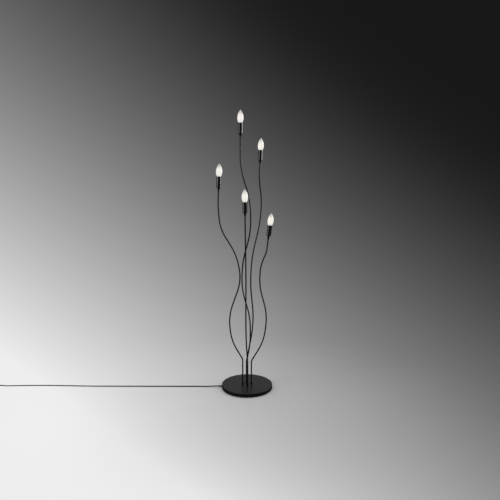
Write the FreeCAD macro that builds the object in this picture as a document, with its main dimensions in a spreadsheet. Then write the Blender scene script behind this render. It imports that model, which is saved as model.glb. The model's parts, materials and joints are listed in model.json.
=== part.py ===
"""Tree floor lamp: five wavy steel tubes stand on a round weighted foot, each with a candle bulb on top.

All lengths are in millimetres and angles in degrees. Z is up, the floor is z = 0, the origin is the
middle of the foot on the floor, the front of the lamp faces -Y and the mains cord leaves towards -X.
"""
import FreeCAD, Part
import math
import os
import re
import Sketcher

Vector = FreeCAD.Vector
UP = Vector(0, 0, 1)

# Foot: a pressed steel cover over a cast weight, closed by a plate with a soft pad
SIZES = {
    "base_diameter": 300,
    "base_height": 22,
    "cover_wall": 2,
    "cover_edge": 2.5,
    "pad_thickness": 2,
    "pad_inset": 7,
    "plate_thickness": 1.5,
    "plate_gap": 3,
    "weight_gap": 1,
    "weight_lift": 0.3,
    "well_diameter": 130,
    "cord_slot_width": 14,
    "screw_inset": 25,
    "screw_diameter": 4,
    "screw_head": 8,
    "screw_head_sink": 0.4,
    "screw_length": 12,
    "screw_turn": 30,
    # Tube feet: a collar stands on the cover and its threaded stud is held by a nut from below
    "foot_circle": 52,
    "foot_turn": 8,
    "collar_diameter": 14,
    "collar_height": 8,
    "collar_chamfer": 1,
    "collar_floor": 2,
    "stud_diameter": 10,
    "stud_length": 13,
    "stud_clearance": 0.2,
    "nut_width": 14,
    "nut_height": 4,
    "washer_diameter": 16,
    "washer_thickness": 1.2,
    # Arm tubes
    "tube_diameter": 8,
    "tube_wall": 1,
    "tube_fit": 0.05,
    "foot_bend_radius": 40,
    "neck_bend_radius": 60,
    "bend_share": 0.45,
    # Cup that carries the candle sleeve; its rim is the seat that the upper pieces are measured from
    "cup_length": 26,
    "cup_mouth": 10.6,
    "cup_waist": 19,
    "cup_flare_radius": 46,
    "rim_diameter": 27.6,
    "rim_thickness": 2.4,
    "rim_edge": 0.8,
    "spigot_height": 4,
    "tube_stop": 6,
    "sleeve_diameter": 27,
    "sleeve_wall": 1.2,
    "sleeve_length": 58,
    "sleeve_fit": 0.15,
    # Small screw lampholder inside the sleeve
    "holder_stem": 10,
    "holder_stem_height": 18,
    "holder_diameter": 23.4,
    "holder_height": 27.4,
    "holder_floor": 6,
    "holder_edge": 1,
    "socket_bore": 15.2,
    "shell_wall": 0.4,
    "shell_fit": 0.05,
    "shell_length": 16,
    "shell_drop": 1,
    "tongue_diameter": 6,
    "tongue_height": 1.6,
    "contact_gap": 0.3,
    # Candle bulb
    "cap_diameter": 14,
    "cap_length": 17,
    "cap_cone": 2,
    "cap_shoulder": 1,
    "cap_button": 4.8,
    "cap_button_height": 1,
    "glass_neck": 14,
    "glass_diameter": 34.8,
    "glass_belly": 33,
    "glass_belly_radius": 56,
    "glass_flame": 43.5,
    "glass_flame_radius": 70,
    "glass_tip": 4.4,
    "glass_tip_rise": 1.7,
    "glass_wall": 0.8,
    "stem_diameter": 5,
    "stem_height": 16,
    "spider_diameter": 12.4,
    "spider_thickness": 1,
    "filament_diameter": 1.8,
    "filament_length": 36,
    "filament_circle": 9.6,
    # Mains cord, its bush in the rim of the foot, and the clamp and terminals inside
    "cord_diameter": 6,
    "cord_height": 8,
    "cord_on_floor": 3.1,
    "bush_hole": 9.6,
    "bush_fit": 0.1,
    "bush_flange": 13,
    "bush_flange_thickness": 2,
    "bush_seat_gap": 0.3,
    "bush_tail": 24,
    "bush_tail_root": 9.2,
    "bush_tail_end": 7.2,
    "bush_bore_fit": 0.05,
    "block_gap": 3,
    "block_length": 15,
    "block_width": 30,
    "block_height": 11,
    "block_poles": 3,
    "pole_pitch": 9.5,
    "pole_diameter": 7,
    "pole_height": 3,
    "pole_screw": 3.2,
    "pole_screw_depth": 2,
    "wire_diameter": 3,
    "wire_bend_radius": 5,
    "wire_pitch": 6,
    "wire_rise": 2,
    "wire_lift": 0.2,
    # Foot switch on the cord
    "switch_length": 80,
    "switch_width": 46,
    "switch_height": 24,
    "switch_corner": 18,
    "switch_edge": 4,
    "switch_wall": 2,
    "switch_floor": 3,
    "port_height": 7.4,
    "port_neck": 8,
    "port_tail": 22,
    "port_tail_root": 10,
    "port_tail_end": 7.2,
    "button_diameter": 28,
    "button_fit": 0.3,
    "button_rise": 6,
    "button_skirt": 4,
    "button_travel": 3,
    "button_edge": 1.6,
    "core_diameter": 18,
    "core_gap": 0.3,
    # Flat two-pin plug
    "plug_length": 34,
    "plug_width": 35,
    "plug_thickness": 13.6,
    "plug_shoulder": 20,
    "plug_neck": 13,
    "plug_edge": 2.4,
    "plug_tail": 22,
    "plug_tail_root": 9.4,
    "plug_tail_end": 7.4,
    "pin_diameter": 4,
    "pin_length": 19,
    "pin_spacing": 18.4,
    # Coil of the cord that is put away
    "coil_radius": 38,
    "coil_pitch": 6.6,
    "coil_turns": 3.5,
    "coil_climb": 0.5,
    "coil_lead": 62,
    "cord_end_run": 8,
}

# Each arm waves in one upright plane: the plane's turn about Z, and the corners of the tube's centre
# line as (distance out from its foot, height over the foot's top face). The last pair is the cup's rim.
ARMS = {
    "centre": (130, ((0, 154), (-30, 261), (-30, 425), (48, 566), (43, 730), (-36, 925), (-31, 1101),
                     (60, 1272), (57, 1470))),
    "back": (60, ((0, 132), (93, 351), (46, 589), (63, 754), (160, 939), (183, 1075), (149, 1208),
                  (160, 1316))),
    "left": (200, ((0, 156), (70, 281), (85, 432), (7, 635), (35, 787), (132, 942), (144, 1071),
                   (139, 1177))),
    "front": (261, ((0, 148), (50, 278), (66, 428), (56, 628), (64, 768), (76, 898), (86, 1043))),
    "right": (20, ((0, 142), (78, 256), (100, 416), (50, 593), (55, 711), (93, 795), (106, 892))),
}

# How far from the middle the cord ends inside the foot: the terminal block fits in the weight's well there
INLET_END = "sqrt((well_diameter / 2 - block_gap)^2 - (block_width / 2)^2)"

# Where each foot stands on the foot circle, in quarter turns from +X; the centre arm stands in the middle
FOOT_QUARTERS = {"right": 0, "back": 1, "left": 2, "front": 3}

# The cord's free stretch from the bush to the foot switch, lying on the floor
CORD_ROUTE = (
    (-174, 0, 8),
    (-190, 0, 8),
    (-212, 1.4, 6),
    (-238, 5, 3.4),
    (-264, 6.8, 3.1),
    (-900, 8, 3.1),
    (-985, 10.5, 3.1),
    (-1070, 15, 3.1),
    (-1155, 18, 3.1),
    (-1240, 19, 3.1),
    (-1325, 17.5, 3.1),
    (-1400, 14, 3.1),
    (-1430, 12.2, 3.1),
    (-1450, 10.6, 4.3),
    (-1470, 9.5, 7.4),
    (-1500, 9.5, 7.4),
)

DOC = FreeCAD.newDocument("TreeFloorLamp")
SHEET = DOC.addObject("Spreadsheet::Sheet", "Sizes")
NODES = {}


def fill_sheet():
    """Write every driving size into the sheet, one row each, with its name as alias."""
    for row, (name, number) in enumerate(SIZES.items(), start=1):
        SHEET.set("A%d" % row, name.replace("_", " "))
        SHEET.set("B%d" % row, str(number))
        SHEET.setAlias("B%d" % row, name)
    DOC.recompute()


def size(name):
    """Return the number that the sheet holds for a size."""
    return float(SHEET.get(name))


def bound(formula):
    """Write a formula of size names so that it reads the sheet's cells."""
    return re.sub(r"[a-z][a-z_]+",
                  lambda word: "Sizes." + word.group() if word.group() in SIZES else word.group(),
                  formula)


def worked_out(formula):
    """Return the number that a formula of size names gives now."""
    return float(SHEET.evalExpression(bound(formula)))


def keep(item, label):
    """Give a finished sub-part its own label, which names its file."""
    item.Label = label
    NODES[label] = item
    return item


def part(kind, name, **formulas):
    """Add one solid of the Part workbench, with its sizes bound to the sheet."""
    solid = DOC.addObject("Part::" + kind, name)
    for setting, formula in formulas.items():
        solid.setExpression(setting, bound(formula))
    return solid


def cut(name, base, tool):
    """Take one solid away from another."""
    result = DOC.addObject("Part::Cut", name)
    result.Base = base
    result.Tool = tool
    return result


def fused(name, pieces):
    """Join solids that touch into one."""
    result = DOC.addObject("Part::MultiFuse", name)
    result.Shapes = pieces
    return result


def group(label, pieces):
    """Hold equal separate solids together as one sub-part."""
    bunch = DOC.addObject("Part::Compound", label)
    bunch.Links = pieces
    return keep(bunch, label)


def plane_of(body, role):
    """Return one of a body's own origin planes."""
    return next(item for item in body.Origin.OriginFeatures if item.Role == role)


def new_sketch(body, name, role, lift=None):
    """Start a sketch on one of the body's origin planes, raised along its normal where lift is given."""
    sketch = body.newObject("Sketcher::SketchObject", name)
    sketch.AttachmentSupport = [(plane_of(body, role), "")]
    sketch.MapMode = "FlatFace"
    if lift:
        sketch.setExpression("AttachmentOffset.Base.z", bound(lift))
    return sketch


def constrain(sketch, kind, *places, formula):
    """Add one dimension to a sketch and bind it to the sheet."""
    index = sketch.addConstraint(Sketcher.Constraint(kind, *places, worked_out(formula)))
    sketch.setExpression("Constraints[%d]" % index, bound(formula))


def draw_outline(sketch, corners):
    """Draw a closed outline. A corner is (across, up), or (across, up, radius) where an arc leaves it.

    A positive radius bulges to the right of the way the outline runs, a negative one to the left.
    """
    spots = [Vector(worked_out(corner[0]), worked_out(corner[1]), 0) for corner in corners]
    edges = []
    for index, corner in enumerate(corners):
        start = spots[index]
        end = spots[(index + 1) % len(spots)]
        if len(corner) == 2:
            edges.append(sketch.addGeometry(Part.LineSegment(start, end), False))
            continue
        radius = worked_out(corner[2])
        chord = end - start
        half = chord.Length / 2
        height = abs(radius) - math.sqrt(radius * radius - half * half)
        side = Vector(chord.y, -chord.x, 0).normalize() * math.copysign(height, radius)
        edges.append(sketch.addGeometry(Part.Arc(start, (start + end) / 2 + side, end), False))

    def end_near(edge, spot):
        first = sketch.getPoint(edge, 1)
        return 1 if first.distanceToPoint(spot) < sketch.getPoint(edge, 2).distanceToPoint(spot) else 2

    for index, corner in enumerate(corners):
        edge = edges[index]
        before = edges[index - 1]
        near = end_near(edge, spots[index])
        sketch.addConstraint(Sketcher.Constraint("Coincident", edge, near, before,
                                                 end_near(before, spots[index])))
        constrain(sketch, "DistanceX", -1, 1, edge, near, formula=corner[0])
        constrain(sketch, "DistanceY", -1, 1, edge, near, formula=corner[1])
        if len(corner) == 3:
            constrain(sketch, "Radius", edge, formula=corner[2].lstrip("-"))


def draw_circle(sketch, across, up, radius):
    """Draw a circle whose place and radius are bound to the sheet."""
    centre = Vector(worked_out(across), worked_out(up), 0)
    ring = sketch.addGeometry(Part.Circle(centre, UP, worked_out(radius)), False)
    constrain(sketch, "DistanceX", -1, 1, ring, 3, formula=across)
    constrain(sketch, "DistanceY", -1, 1, ring, 3, formula=up)
    constrain(sketch, "Radius", ring, formula=radius)


def turned(label, corners):
    """Turn an outline of (radius, height) corners about Z into a body."""
    body = DOC.addObject("PartDesign::Body", label)
    outline = new_sketch(body, label + "_outline", "XZ_Plane")
    draw_outline(outline, corners)
    DOC.recompute()
    spun = body.newObject("PartDesign::Revolution", label + "_turned")
    spun.Profile = outline
    spun.ReferenceAxis = (outline, ["V_Axis"])
    spun.Angle = 360
    outline.Visibility = False
    DOC.recompute()
    return body


def padded(label, corners, height, lift=None):
    """Raise a plan outline into a body of a given height."""
    body = DOC.addObject("PartDesign::Body", label)
    plan = new_sketch(body, label + "_plan", "XY_Plane", lift)
    draw_outline(plan, corners)
    DOC.recompute()
    raised = body.newObject("PartDesign::Pad", label + "_raised")
    raised.Profile = plan
    raised.setExpression("Length", bound(height))
    DOC.recompute()
    return body


def pocket(body, name, role, circles=(), outline=None, length=None, lift=None, backwards=False):
    """Cut circles or an outline out of a body, and make sure that something was cut."""
    before = body.Shape.Volume
    sketch = new_sketch(body, name + "_plan", role, lift)
    for circle in circles:
        draw_circle(sketch, *circle)
    if outline:
        draw_outline(sketch, outline)
    DOC.recompute()
    hole = body.newObject("PartDesign::Pocket", name)
    hole.Profile = sketch
    hole.Reversed = backwards
    if length:
        hole.setExpression("Length", bound(length))
    else:
        hole.Type = "ThroughAll"
        hole.Midplane = True
    DOC.recompute()
    if body.Shape.Volume > before - 0.01:
        raise ValueError(name + " cuts nothing")


def rounded(body, name, radius, chosen):
    """Round the edges of a body that the test picks out."""
    solid = body.Tip
    edges = ["Edge%d" % (index + 1) for index, edge in enumerate(solid.Shape.Edges) if chosen(edge)]
    fillet = body.newObject("PartDesign::Fillet", name)
    fillet.Base = (solid, edges)
    fillet.setExpression("Radius", bound(radius))
    DOC.recompute()


def bent_path(points, radii):
    """Join straight runs with tangent arcs at the corners, and return the wire and its arc radii."""
    share = size("bend_share")
    edges = []
    used = []
    last = points[0]
    for before, corner, after, limit in zip(points, points[1:], points[2:], radii):
        back = before - corner
        ahead = after - corner
        room = share * min(back.Length, ahead.Length)
        back.normalize()
        ahead.normalize()
        half_turn = (math.pi - back.getAngle(ahead)) / 2
        if half_turn < 1e-4:
            continue
        reach = min(room, limit * math.tan(half_turn)) if limit else room
        radius = reach / math.tan(half_turn)
        inward = (back + ahead).normalize()
        middle = corner + inward * (radius / math.cos(half_turn) - radius)
        first = corner + back * reach
        second = corner + ahead * reach
        edges.append(Part.LineSegment(last, first).toShape())
        edges.append(Part.Arc(first, middle, second).toShape())
        used.append(radius)
        last = second
    edges.append(Part.LineSegment(last, points[-1]).toShape())
    return Part.Wire(edges), used


def swept(name, wire, radius):
    """Sweep a circle, whose radius is bound to the sheet, along a path from its first point."""
    path = DOC.addObject("Part::Feature", name + "_path")
    path.Shape = wire
    start = wire.OrderedEdges[0]
    ring = part("Circle", name + "_ring", Radius=radius)
    heading = start.tangentAt(start.FirstParameter)
    ring.Placement = FreeCAD.Placement(start.valueAt(start.FirstParameter), FreeCAD.Rotation(UP, heading))
    sweep = DOC.addObject("Part::Sweep", name)
    sweep.Sections = [ring]
    sweep.Spine = (path, ["Edge%d" % (index + 1) for index in range(len(wire.Edges))])
    sweep.Solid = True
    sweep.Frenet = False
    return sweep


def foot_spot(arm):
    """Return where an arm's foot stands, on the cover's top face."""
    if arm not in FOOT_QUARTERS:
        return Vector(0, 0, size("base_height"))
    turn = math.radians(size("foot_turn") + 90 * FOOT_QUARTERS[arm])
    radius = size("foot_circle") / 2
    return Vector(radius * math.cos(turn), radius * math.sin(turn), size("base_height"))


def arm_corners(arm):
    """Return the corners of an arm's centre line in space, the last one on the cup's rim."""
    turn, corners = ARMS[arm]
    outward = Vector(math.cos(math.radians(turn)), math.sin(math.radians(turn)), 0)
    foot = foot_spot(arm)
    return [foot + outward * out + UP * height for out, height in corners]


def seat_placement(arm):
    """Return the placement whose origin is the middle of the cup's rim and whose Z is the arm's end."""
    before, seat = arm_corners(arm)[-2:]
    return FreeCAD.Placement(seat, FreeCAD.Rotation(UP, seat - before))


def foot_formulas(arm):
    """Return the sheet formulas of an arm's foot, across and up in plan."""
    if arm not in FOOT_QUARTERS:
        return "0", "0"
    turn = "foot_turn + %d" % (90 * FOOT_QUARTERS[arm])
    return "foot_circle / 2 * cos(%s)" % turn, "foot_circle / 2 * sin(%s)" % turn


def make_base():
    """Build the weighted foot: cover, weight, plate, pad and screws."""
    wall = "base_diameter / 2 - cover_wall"
    cover = turned("base_cover", (
        ("0", "base_height - cover_wall"),
        (wall, "base_height - cover_wall"),
        (wall, "pad_thickness"),
        ("base_diameter / 2", "pad_thickness"),
        ("base_diameter / 2", "base_height - cover_edge", "cover_edge"),
        ("base_diameter / 2 - cover_edge", "base_height"),
        ("0", "base_height")))
    stud_hole = "stud_diameter / 2 + stud_clearance"
    pocket(cover, "stud_holes", "XY_Plane", circles=[foot_formulas(arm) + (stud_hole,) for arm in ARMS])
    pocket(cover, "cord_hole", "YZ_Plane", circles=[("0", "cord_height", "bush_hole / 2")],
           length="base_diameter")
    keep(cover, "base_cover")

    weight_bottom = "pad_thickness + plate_thickness"
    weight_top = "base_height - cover_wall - weight_lift"
    weight = turned("base_weight", (
        ("well_diameter / 2", weight_bottom),
        (wall + " - weight_gap", weight_bottom),
        (wall + " - weight_gap", weight_top),
        ("well_diameter / 2", weight_top)))
    pocket(weight, "cord_slot", "XY_Plane", outline=(
        ("0", "-cord_slot_width / 2"),
        ("0", "cord_slot_width / 2"),
        ("-base_diameter / 2", "cord_slot_width / 2"),
        ("-base_diameter / 2", "-cord_slot_width / 2")))
    holes = []
    for number in range(4):
        turn = "screw_turn + %d" % (number * 90)
        holes.append(("(base_diameter / 2 - screw_inset) * cos(%s)" % turn,
                      "(base_diameter / 2 - screw_inset) * sin(%s)" % turn))
    pocket(weight, "screw_holes", "XY_Plane",
           circles=[hole + ("screw_diameter / 2 + stud_clearance",) for hole in holes],
           length="screw_length + pad_thickness", backwards=True)
    keep(weight, "base_weight")

    plate = turned("base_plate", (
        ("0", "pad_thickness"),
        (wall + " - plate_gap", "pad_thickness"),
        (wall + " - plate_gap", "pad_thickness + plate_thickness"),
        ("0", "pad_thickness + plate_thickness")))
    pocket(plate, "plate_holes", "XY_Plane",
           circles=[hole + ("screw_diameter / 2 + stud_clearance",) for hole in holes])
    keep(plate, "base_plate")

    pad = turned("base_pad", (
        ("0", "0"),
        ("base_diameter / 2 - pad_inset", "0"),
        ("base_diameter / 2 - pad_inset", "pad_thickness"),
        ("0", "pad_thickness")))
    pocket(pad, "pad_holes", "XY_Plane",
           circles=[hole + ("screw_head / 2 + stud_clearance",) for hole in holes])
    keep(pad, "base_pad")

    screws = []
    for number, (across, up) in enumerate(holes):
        screw = turned("plate_screw_%d" % (number + 1), (
            ("0", "pad_thickness - screw_diameter / 2 + screw_head_sink"),
            ("screw_head / 2", "pad_thickness - screw_diameter / 2 + screw_head_sink"),
            ("screw_head / 2", "pad_thickness"),
            ("screw_diameter / 2", "pad_thickness"),
            ("screw_diameter / 2", "pad_thickness + screw_length"),
            ("0", "pad_thickness + screw_length")))
        screw.setExpression("Placement.Base.x", bound(across))
        screw.setExpression("Placement.Base.y", bound(up))
        screws.append(screw)
    group("plate_screws", screws)


def make_feet():
    """Build the collars that stand on the cover, and the washers and nuts below it."""
    collars = []
    washers = []
    nuts = []
    ceiling = "base_height - cover_wall"
    for arm in ARMS:
        across, up = foot_formulas(arm)
        tube_hole = "tube_diameter / 2 + tube_fit"
        wire_hole = "tube_diameter / 2 - tube_wall"
        collar = turned(arm + "_collar", (
            (wire_hole, "-stud_length"),
            ("stud_diameter / 2", "-stud_length"),
            ("stud_diameter / 2", "0"),
            ("collar_diameter / 2", "0"),
            ("collar_diameter / 2", "collar_height - collar_chamfer"),
            ("collar_diameter / 2 - collar_chamfer", "collar_height"),
            (tube_hole, "collar_height"),
            (tube_hole, "collar_floor"),
            (wire_hole, "collar_floor")))
        collar.setExpression("Placement.Base.z", bound("base_height"))
        washer = cut(arm + "_washer",
                     part("Cylinder", arm + "_washer_disc", Radius="washer_diameter / 2",
                          Height="washer_thickness"),
                     part("Cylinder", arm + "_washer_hole", Radius=stud_radius(), Height="washer_thickness"))
        washer.setExpression("Placement.Base.z", bound(ceiling + " - washer_thickness"))
        nut = cut(arm + "_nut",
                  part("Prism", arm + "_nut_hexagon", Circumradius="nut_width / sqrt(3)",
                       Height="nut_height"),
                  part("Cylinder", arm + "_nut_hole", Radius=stud_radius(), Height="nut_height"))
        nut.setExpression("Placement.Base.z", bound(ceiling + " - washer_thickness - nut_height"))
        for piece, bunch in ((collar, collars), (washer, washers), (nut, nuts)):
            piece.setExpression("Placement.Base.x", bound(across))
            piece.setExpression("Placement.Base.y", bound(up))
            bunch.append(piece)
    group("foot_collars", collars)
    group("foot_washers", washers)
    group("foot_nuts", nuts)


def stud_radius():
    """Return the formula of a hole that runs on the collar's stud."""
    return "stud_diameter / 2 + tube_fit"


def make_arm(arm):
    """Bend one arm's tube: straight out of its foot, through its waves, and straight into the cup."""
    corners = arm_corners(arm)
    start = foot_spot(arm) + UP * size("collar_floor")
    last_run = (corners[-1] - corners[-2]).normalize()
    end = corners[-1] - last_run * size("tube_stop")
    radii = [None] * (len(corners) - 1)
    radii[0] = size("foot_bend_radius")
    if arm == "right":
        radii[-1] = size("neck_bend_radius")
    wire, used = bent_path([start] + corners[:-1] + [end], radii)
    print(arm, "arm radii:", " ".join("%.0f" % radius for radius in used))
    tube = cut(arm + "_tube_bored",
               swept(arm + "_tube_outside", wire, "tube_diameter / 2"),
               swept(arm + "_tube_bore", wire, "tube_diameter / 2 - tube_wall"))
    keep(tube, arm + "_arm")


def make_candle(arm):
    """Build the cup, sleeve and lampholder at the top of one arm."""
    spigot = "sleeve_diameter / 2 - sleeve_wall - sleeve_fit"
    wire_hole = "tube_diameter / 2 - tube_wall"
    tube_hole = "tube_diameter / 2 + tube_fit"
    cup = turned(arm + "_cup", (
        (tube_hole, "-cup_length"),
        ("cup_mouth / 2", "-cup_length", "-cup_flare_radius"),
        ("cup_waist / 2", "-rim_thickness"),
        ("rim_diameter / 2 - rim_edge", "-rim_thickness"),
        ("rim_diameter / 2", "rim_edge - rim_thickness"),
        ("rim_diameter / 2", "0"),
        (spigot, "0"),
        (spigot, "spigot_height"),
        (wire_hole, "spigot_height"),
        (wire_hole, "-tube_stop"),
        (tube_hole, "-tube_stop")))
    sleeve = turned(arm + "_sleeve", (
        ("sleeve_diameter / 2 - sleeve_wall", "0"),
        ("sleeve_diameter / 2", "0"),
        ("sleeve_diameter / 2", "sleeve_length"),
        ("sleeve_diameter / 2 - sleeve_wall", "sleeve_length")))
    stem_top = "spigot_height + holder_stem_height"
    holder = turned(arm + "_holder", (
        (wire_hole, "spigot_height"),
        ("holder_stem / 2", "spigot_height"),
        ("holder_stem / 2", stem_top),
        ("holder_diameter / 2 - holder_edge", stem_top),
        ("holder_diameter / 2", stem_top + " + holder_edge"),
        ("holder_diameter / 2", stem_top + " + holder_height"),
        ("socket_bore / 2", stem_top + " + holder_height"),
        ("socket_bore / 2", stem_top + " + holder_floor"),
        (wire_hole, stem_top + " + holder_floor")))
    for piece in (cup, sleeve, holder):
        piece.Placement = seat_placement(arm)
        keep(piece, piece.Name)


def socket_floor():
    """Return the formula of the socket's floor, over the cup's rim."""
    return "spigot_height + holder_stem_height + holder_floor"


def make_contacts():
    """Build each holder's thin threaded shell and the tongue under the bulb's tip."""
    pieces = []
    for arm in ARMS:
        outside = "socket_bore / 2 - shell_fit"
        inside = "socket_bore / 2 - shell_fit - shell_wall"
        top = socket_floor() + " + holder_height - holder_floor - shell_drop"
        shell = turned(arm + "_shell", (
            (inside, top + " - shell_length"),
            (outside, top + " - shell_length"),
            (outside, top),
            (inside, top)))
        tongue = turned(arm + "_tongue", (
            ("0", socket_floor()),
            ("tongue_diameter / 2", socket_floor()),
            ("tongue_diameter / 2", socket_floor() + " + tongue_height"),
            ("0", socket_floor() + " + tongue_height")))
        for piece in (shell, tongue):
            piece.Placement = seat_placement(arm)
            pieces.append(piece)
    group("holder_contacts", pieces)


def make_bulb(arm):
    """Build one candle bulb: screw cap, blown glass and the filament cage on its stem."""
    tip = socket_floor() + " + tongue_height + contact_gap"
    cap_bottom = tip + " + cap_button_height + cap_cone"
    cap_top = cap_bottom + " + cap_length"
    cap = turned(arm + "_bulb_cap", (
        ("0", tip),
        ("cap_button / 2", tip),
        ("cap_button / 2", tip + " + cap_button_height"),
        ("cap_diameter / 2 - cap_shoulder", cap_bottom),
        ("cap_diameter / 2", cap_bottom + " + cap_shoulder"),
        ("cap_diameter / 2", cap_top),
        ("0", cap_top)))
    belly = cap_top + " + glass_belly"
    flame = belly + " + glass_flame"
    glass = turned(arm + "_bulb_glass", (
        ("glass_neck / 2 - glass_wall", cap_top),
        ("glass_neck / 2", cap_top, "glass_belly_radius"),
        ("glass_diameter / 2", belly, "glass_flame_radius"),
        ("glass_tip / 2", flame, "((glass_tip / 2)^2 + glass_tip_rise^2) / (2 * glass_tip_rise)"),
        ("0", flame + " + glass_tip_rise"),
        ("0", flame + " + glass_tip_rise - 2 * glass_wall"),
        ("glass_tip / 2 - glass_wall", flame + " - glass_wall", "-(glass_flame_radius - glass_wall)"),
        ("glass_diameter / 2 - glass_wall", belly, "-(glass_belly_radius - glass_wall)")))
    cage_bottom = cap_top + " + stem_height"
    cage_top = cage_bottom + " + spider_thickness + filament_length"
    pieces = [part("Cone", arm + "_stem", Radius1="stem_diameter / 2", Radius2="stem_diameter / 3",
                   Height="stem_height"),
              part("Cylinder", arm + "_lower_spider", Radius="spider_diameter / 2",
                   Height="spider_thickness"),
              part("Cylinder", arm + "_upper_spider", Radius="spider_diameter / 2",
                   Height="spider_thickness")]
    for piece, foot in zip(pieces, (cap_top, cage_bottom, cage_top)):
        piece.setExpression("Placement.Base.z", bound(foot))
    for quarter in range(4):
        rod = part("Cylinder", "%s_filament_%d" % (arm, quarter + 1), Radius="filament_diameter / 2",
                   Height="filament_length")
        turn = quarter * 90
        rod.setExpression("Placement.Base.x", bound("filament_circle / 2 * cos(%d)" % turn))
        rod.setExpression("Placement.Base.y", bound("filament_circle / 2 * sin(%d)" % turn))
        rod.setExpression("Placement.Base.z", bound(cage_bottom + " + spider_thickness"))
        pieces.append(rod)
    cage = fused(arm + "_bulb_filament", pieces)
    for piece in (cap, glass, cage):
        piece.Placement = seat_placement(arm)
        keep(piece, piece.Name)


def make_inlet():
    """Build the bush in the rim, the cord inside the foot, the terminal block and the arms' wires."""
    rim = "base_diameter / 2"
    bore = "cord_diameter / 2 + bush_bore_fit"
    neck = "bush_hole / 2 - bush_fit"
    bush = turned("strain_relief", (
        (bore, rim + " - cover_wall - bush_flange_thickness"),
        ("bush_flange / 2", rim + " - cover_wall - bush_flange_thickness"),
        ("bush_flange / 2", rim + " - cover_wall - bush_seat_gap"),
        (neck, rim + " - cover_wall - bush_seat_gap"),
        (neck, rim),
        ("bush_tail_root / 2", rim),
        ("bush_tail_end / 2", rim + " + bush_tail"),
        (bore, rim + " + bush_tail")))
    along_cord = FreeCAD.Rotation(UP, Vector(-1, 0, 0))
    bush.Placement = FreeCAD.Placement(Vector(0, 0, size("cord_height")), along_cord)
    keep(bush, "strain_relief")

    inlet = part("Cylinder", "inlet_cord", Radius="cord_diameter / 2",
                 Height=rim + " + bush_tail - " + INLET_END)
    inlet.Placement = FreeCAD.Placement(Vector(-worked_out(INLET_END), 0, size("cord_height")), along_cord)
    keep(inlet, "inlet_cord")

    block = part("Box", "block_body", Length="block_length", Width="block_width", Height="block_height")
    block.setExpression("Placement.Base.x", bound("-" + INLET_END))
    block.setExpression("Placement.Base.y", bound("-block_width / 2"))
    block.setExpression("Placement.Base.z", bound("pad_thickness + plate_thickness"))
    pieces = [block]
    screws = []
    for number in range(int(size("block_poles"))):
        across = "(%d - (block_poles - 1) / 2) * pole_pitch" % number
        tower = part("Cylinder", "pole_%d" % (number + 1), Radius="pole_diameter / 2", Height="pole_height")
        hole = part("Cylinder", "pole_bore_%d" % (number + 1), Radius="pole_screw / 2 + tube_fit",
                    Height="pole_height")
        screw = part("Cylinder", "pole_screw_%d" % (number + 1), Radius="pole_screw / 2",
                     Height="pole_screw_depth")
        top = "pad_thickness + plate_thickness + block_height"
        for piece in (tower, hole, screw):
            piece.setExpression("Placement.Base.x", bound("block_length / 2 - " + INLET_END))
            piece.setExpression("Placement.Base.y", bound(across))
            piece.setExpression("Placement.Base.z", bound(top))
        pieces.append(cut("pole_tower_%d" % (number + 1), tower, hole))
        screws.append(screw)
    keep(fused("terminal_block", pieces), "terminal_block")
    group("terminal_screws", screws)


def make_wires():
    """Lead one pair of wires from the terminal block under each tube's stud and up into its bore."""
    wires = []
    block_face = size("block_length") - worked_out(INLET_END)
    low = size("pad_thickness") + size("plate_thickness") + size("wire_diameter") / 2 + size("wire_lift")
    order = sorted(ARMS, key=lambda arm: foot_spot(arm).y)
    order.remove("left")
    order.insert(1, "left")
    for number, arm in enumerate(order):
        foot = foot_spot(arm)
        side = (number - (len(order) - 1) / 2) * size("wire_pitch")
        begin = Vector(block_face, side, low)
        clear = begin + Vector(size("wire_pitch"), 0, 0)
        below = Vector(foot.x, foot.y, low)
        end = Vector(foot.x, foot.y, size("base_height") + size("wire_rise"))
        wire, used = bent_path([begin, clear, below, end], [size("wire_bend_radius")] * 2)
        wires.append(swept(arm + "_wires", wire, "wire_diameter / 2"))
    group("arm_wires", wires)


def switch_centre():
    """Return the middle of the foot switch on the floor: it starts where the cord's free stretch ends."""
    last = Vector(*CORD_ROUTE[-1])
    return Vector(last.x - size("switch_length") / 2, last.y, 0)


def round_plan(length, width, corner):
    """Return the plan of a rectangle with round corners, as outline corners."""
    along = length + " / 2"
    across = width + " / 2"
    return (
        ("%s - %s" % (along, corner), "-" + across, corner),
        (along, "%s - %s" % (corner, across)),
        (along, "%s - %s" % (across, corner), corner),
        ("%s - %s" % (along, corner), across),
        ("%s - %s" % (corner, along), across, corner),
        ("-" + along, "%s - %s" % (across, corner)),
        ("-" + along, "%s - %s" % (corner, across), corner),
        ("%s - %s" % (corner, along), "-" + across))


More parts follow.
